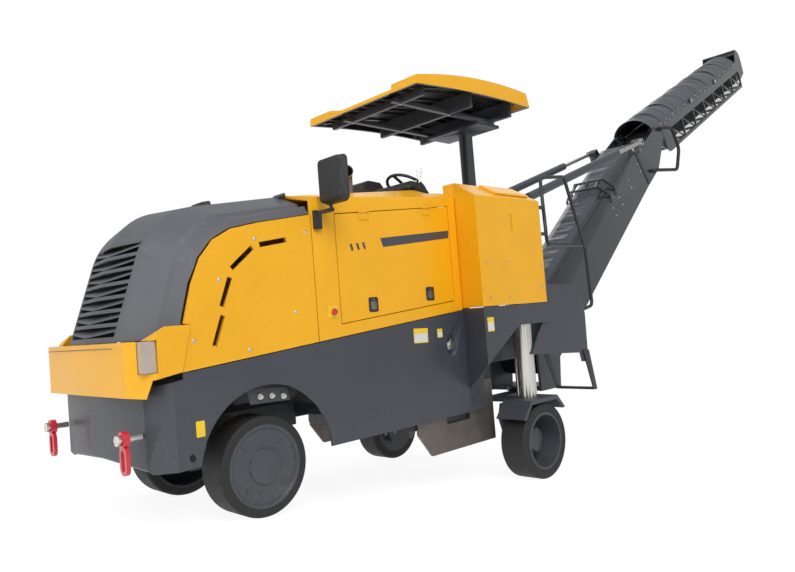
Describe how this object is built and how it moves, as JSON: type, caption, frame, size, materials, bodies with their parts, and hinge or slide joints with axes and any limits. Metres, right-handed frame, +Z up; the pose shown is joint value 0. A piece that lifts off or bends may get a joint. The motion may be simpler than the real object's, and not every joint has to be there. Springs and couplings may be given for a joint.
{
  "type": "cold planer milling machine",
  "caption": "Compact wheeled road milling machine with a drum under its belly, a canopy over the operator and a folding discharge conveyor behind.",
  "frame": {"origin": "on the floor under the middle of the whole machine", "axes": "+X forward, +Y to the left, +Z up"},
  "size_m": [11.8072, 2.214, 6.8889],
  "materials": {
    "body_grey": "satin dark grey paint",
    "body_yellow": "gloss yellow paint",
    "black_steel": "satin black paint",
    "red_steel": "gloss red paint",
    "bright_steel": "ground and polished",
    "worn_steel": "bare and worn",
    "cast_block": "cast",
    "tyre_rubber": "solid tyre rubber",
    "belt_rubber": "matt",
    "tarpaulin": "coated cloth",
    "seat_vinyl": "vinyl",
    "black_plastic": "grained",
    "lamp_glass": "clear lens"
  },
  "bodies": {
    "machine": {"chassis_frame": "body_grey", "rear_frame": "body_grey", "turret_bracket": "body_grey", "engine_block": "cast_block", "front_bumper": "body_yellow", "headlamps": "lamp_glass", "side_panels": "body_yellow", "body_shell": "body_yellow", "tank_left": "body_yellow", "tank_right": "body_yellow", "operator_floor": "black_steel", "operator_seat": "seat_vinyl", "control_console": "black_plastic", "exhaust_pipe": "worn_steel", "canopy_post": "body_grey", "mirrors": "black_plastic", "towing_rings": "red_steel", "ring_bolts": "bright_steel", "rails_and_steps": "black_steel", "front_axle": "body_grey", "drum_housing": "body_grey", "intake_conveyor": "body_grey"},
    "hood": {"hood_shell": "body_grey"},
    "door_left": {"side_door_left": "body_yellow"},
    "door_right": {"side_door_right": "body_yellow"},
    "lid_left": {"tank_lid_left": "body_yellow"},
    "lid_right": {"tank_lid_right": "body_yellow"},
    "canopy": {"canopy_mast": "body_grey", "canopy_roof": "body_yellow"},
    "steering_left": {"knuckle_left": "body_grey"},
    "steering_right": {"knuckle_right": "body_grey"},
    "wheel_front_left": {"front_rim_left": "body_grey", "front_tyre_left": "tyre_rubber"},
    "wheel_front_right": {"front_rim_right": "body_grey", "front_tyre_right": "tyre_rubber"},
    "leg_left": {"rear_column_left": "bright_steel", "rear_fork_left": "body_grey"},
    "leg_right": {"rear_column_right": "bright_steel", "rear_fork_right": "body_grey"},
    "wheel_rear_left": {"rear_rim_left": "body_grey", "rear_tyre_left": "tyre_rubber"},
    "wheel_rear_right": {"rear_rim_right": "body_grey", "rear_tyre_right": "tyre_rubber"},
    "drum": {"milling_drum": "worn_steel"},
    "edge_left": {"edge_plate_left": "worn_steel"},
    "edge_right": {"edge_plate_right": "worn_steel"},
    "scraper": {"rear_scraper": "body_grey"},
    "turret": {"slewing_turret": "body_grey"},
    "boom_lower": {"conveyor_lower": "body_grey", "lower_cover": "tarpaulin", "fold_hoses": "belt_rubber"},
    "boom_upper": {"conveyor_upper": "black_steel", "upper_belt": "belt_rubber", "upper_cover": "tarpaulin"},
    "lift_barrel": {"lift_barrels": "body_grey"},
    "lift_rod": {"lift_rods": "bright_steel"}
  },
  "joints": [
    {"name": "hood_lift", "type": "hinge", "parent": "machine", "child": "hood", "pos_m": [4.67458, 0, 2.22638], "axis": [0, 1, 0], "range_deg": [-38, 0]},
    {"name": "door_left_lift", "type": "hinge", "parent": "machine", "child": "door_left", "pos_m": [3.80404, 0.77, 2.21518], "axis": [0.9784, 0, -0.2066], "range_deg": [0, 80]},
    {"name": "door_right_lift", "type": "hinge", "parent": "machine", "child": "door_right", "pos_m": [3.80404, -0.77, 2.21518], "axis": [-0.9784, 0, 0.2066], "range_deg": [0, 80]},
    {"name": "lid_left_lift", "type": "hinge", "parent": "machine", "child": "lid_left", "pos_m": [2.55945, 0.98534, 2.51456], "axis": [-0.9939, 0, 0.1102], "range_deg": [0, 100]},
    {"name": "lid_right_lift", "type": "hinge", "parent": "machine", "child": "lid_right", "pos_m": [2.55945, -0.98534, 2.51456], "axis": [0.9939, 0, -0.1102], "range_deg": [0, 100]},
    {"name": "canopy_slide", "type": "slide", "parent": "machine", "child": "canopy", "axis": [0.1102, 0, 0.9939], "range_m": [-0.55, 0]},
    {"name": "steer_left", "type": "hinge", "parent": "machine", "child": "steering_left", "pos_m": [4.9, 0.38, 0.33], "axis": [0.1102, 0, 0.9939], "range_deg": [-30, 30]},
    {"name": "steer_right", "type": "hinge", "parent": "machine", "child": "steering_right", "pos_m": [4.9, -0.38, 0.33], "axis": [0.1102, 0, 0.9939], "range_deg": [-30, 30]},
    {"name": "front_left_spin", "type": "hinge", "parent": "steering_left", "child": "wheel_front_left", "pos_m": [4.9, 0.555, 0.33], "axis": [0, 1, 0], "continuous": true},
    {"name": "front_right_spin", "type": "hinge", "parent": "steering_right", "child": "wheel_front_right", "pos_m": [4.9, -0.555, 0.33], "axis": [0, 1, 0], "continuous": true},
    {"name": "leg_left_slide", "type": "slide", "parent": "machine", "child": "leg_left", "axis": [0.1102, 0, 0.9939], "range_m": [-0.05, 0.3]},
    {"name": "leg_right_slide", "type": "slide", "parent": "machine", "child": "leg_right", "axis": [0.1102, 0, 0.9939], "range_m": [-0.05, 0.3]},
    {"name": "rear_left_spin", "type": "hinge", "parent": "leg_left", "child": "wheel_rear_left", "pos_m": [2.25892, 0.957, 0.33], "axis": [0, 1, 0], "continuous": true},
    {"name": "rear_right_spin", "type": "hinge", "parent": "leg_right", "child": "wheel_rear_right", "pos_m": [2.25892, -0.957, 0.33], "axis": [0, 1, 0], "continuous": true},
    {"name": "drum_spin", "type": "hinge", "parent": "machine", "child": "drum", "pos_m": [3.03691, 0, 0.76795], "axis": [0, 1, 0], "continuous": true},
    {"name": "edge_left_slide", "type": "slide", "parent": "machine", "child": "edge_left", "axis": [0.1102, 0, 0.9939], "range_m": [-0.12, 0.2]},
    {"name": "edge_right_slide", "type": "slide", "parent": "machine", "child": "edge_right", "axis": [0.1102, 0, 0.9939], "range_m": [-0.12, 0.2]},
    {"name": "scraper_swing", "type": "hinge", "parent": "machine", "child": "scraper", "pos_m": [2.51506, 0, 1.0069], "axis": [0, 1, 0], "range_deg": [0, 60]},
    {"name": "conveyor_slew", "type": "hinge", "parent": "machine", "child": "turret", "pos_m": [1.21133, 0, 1.36271], "axis": [0.1102, 0, 0.9939], "range_deg": [-50, 50]},
    {"name": "conveyor_lift", "type": "hinge", "parent": "turret", "child": "boom_lower", "pos_m": [0.94297, 0, 1.39246], "axis": [0, 1, 0], "range_deg": [-25, 4]},
    {"name": "conveyor_fold", "type": "hinge", "parent": "boom_lower", "child": "boom_upper", "pos_m": [-2.04453, 0, 4.38996], "axis": [0, 1, 0], "range_deg": [-95, 0]},
    {"name": "lift_barrel_turn", "type": "hinge", "parent": "turret", "child": "lift_barrel", "pos_m": [1.48926, 0, 2.78072], "axis": [0, 1, 0], "range_deg": [-25.93, 5.83]},
    {"name": "lift_rod_slide", "type": "slide", "parent": "lift_barrel", "child": "lift_rod", "axis": [-0.9067, 0, 0.4217], "range_m": [-0.1331, 0.6743]}
  ],
  "couplings": [
    {"joint": "steer_right", "follows": "steer_left", "ratio": 1},
    {"joint": "lift_barrel_turn", "follows": "conveyor_lift", "ratio": 0.95703},
    {"joint": "lift_rod_slide", "follows": "conveyor_lift", "m_per_rad": -1.4767}
  ]
}
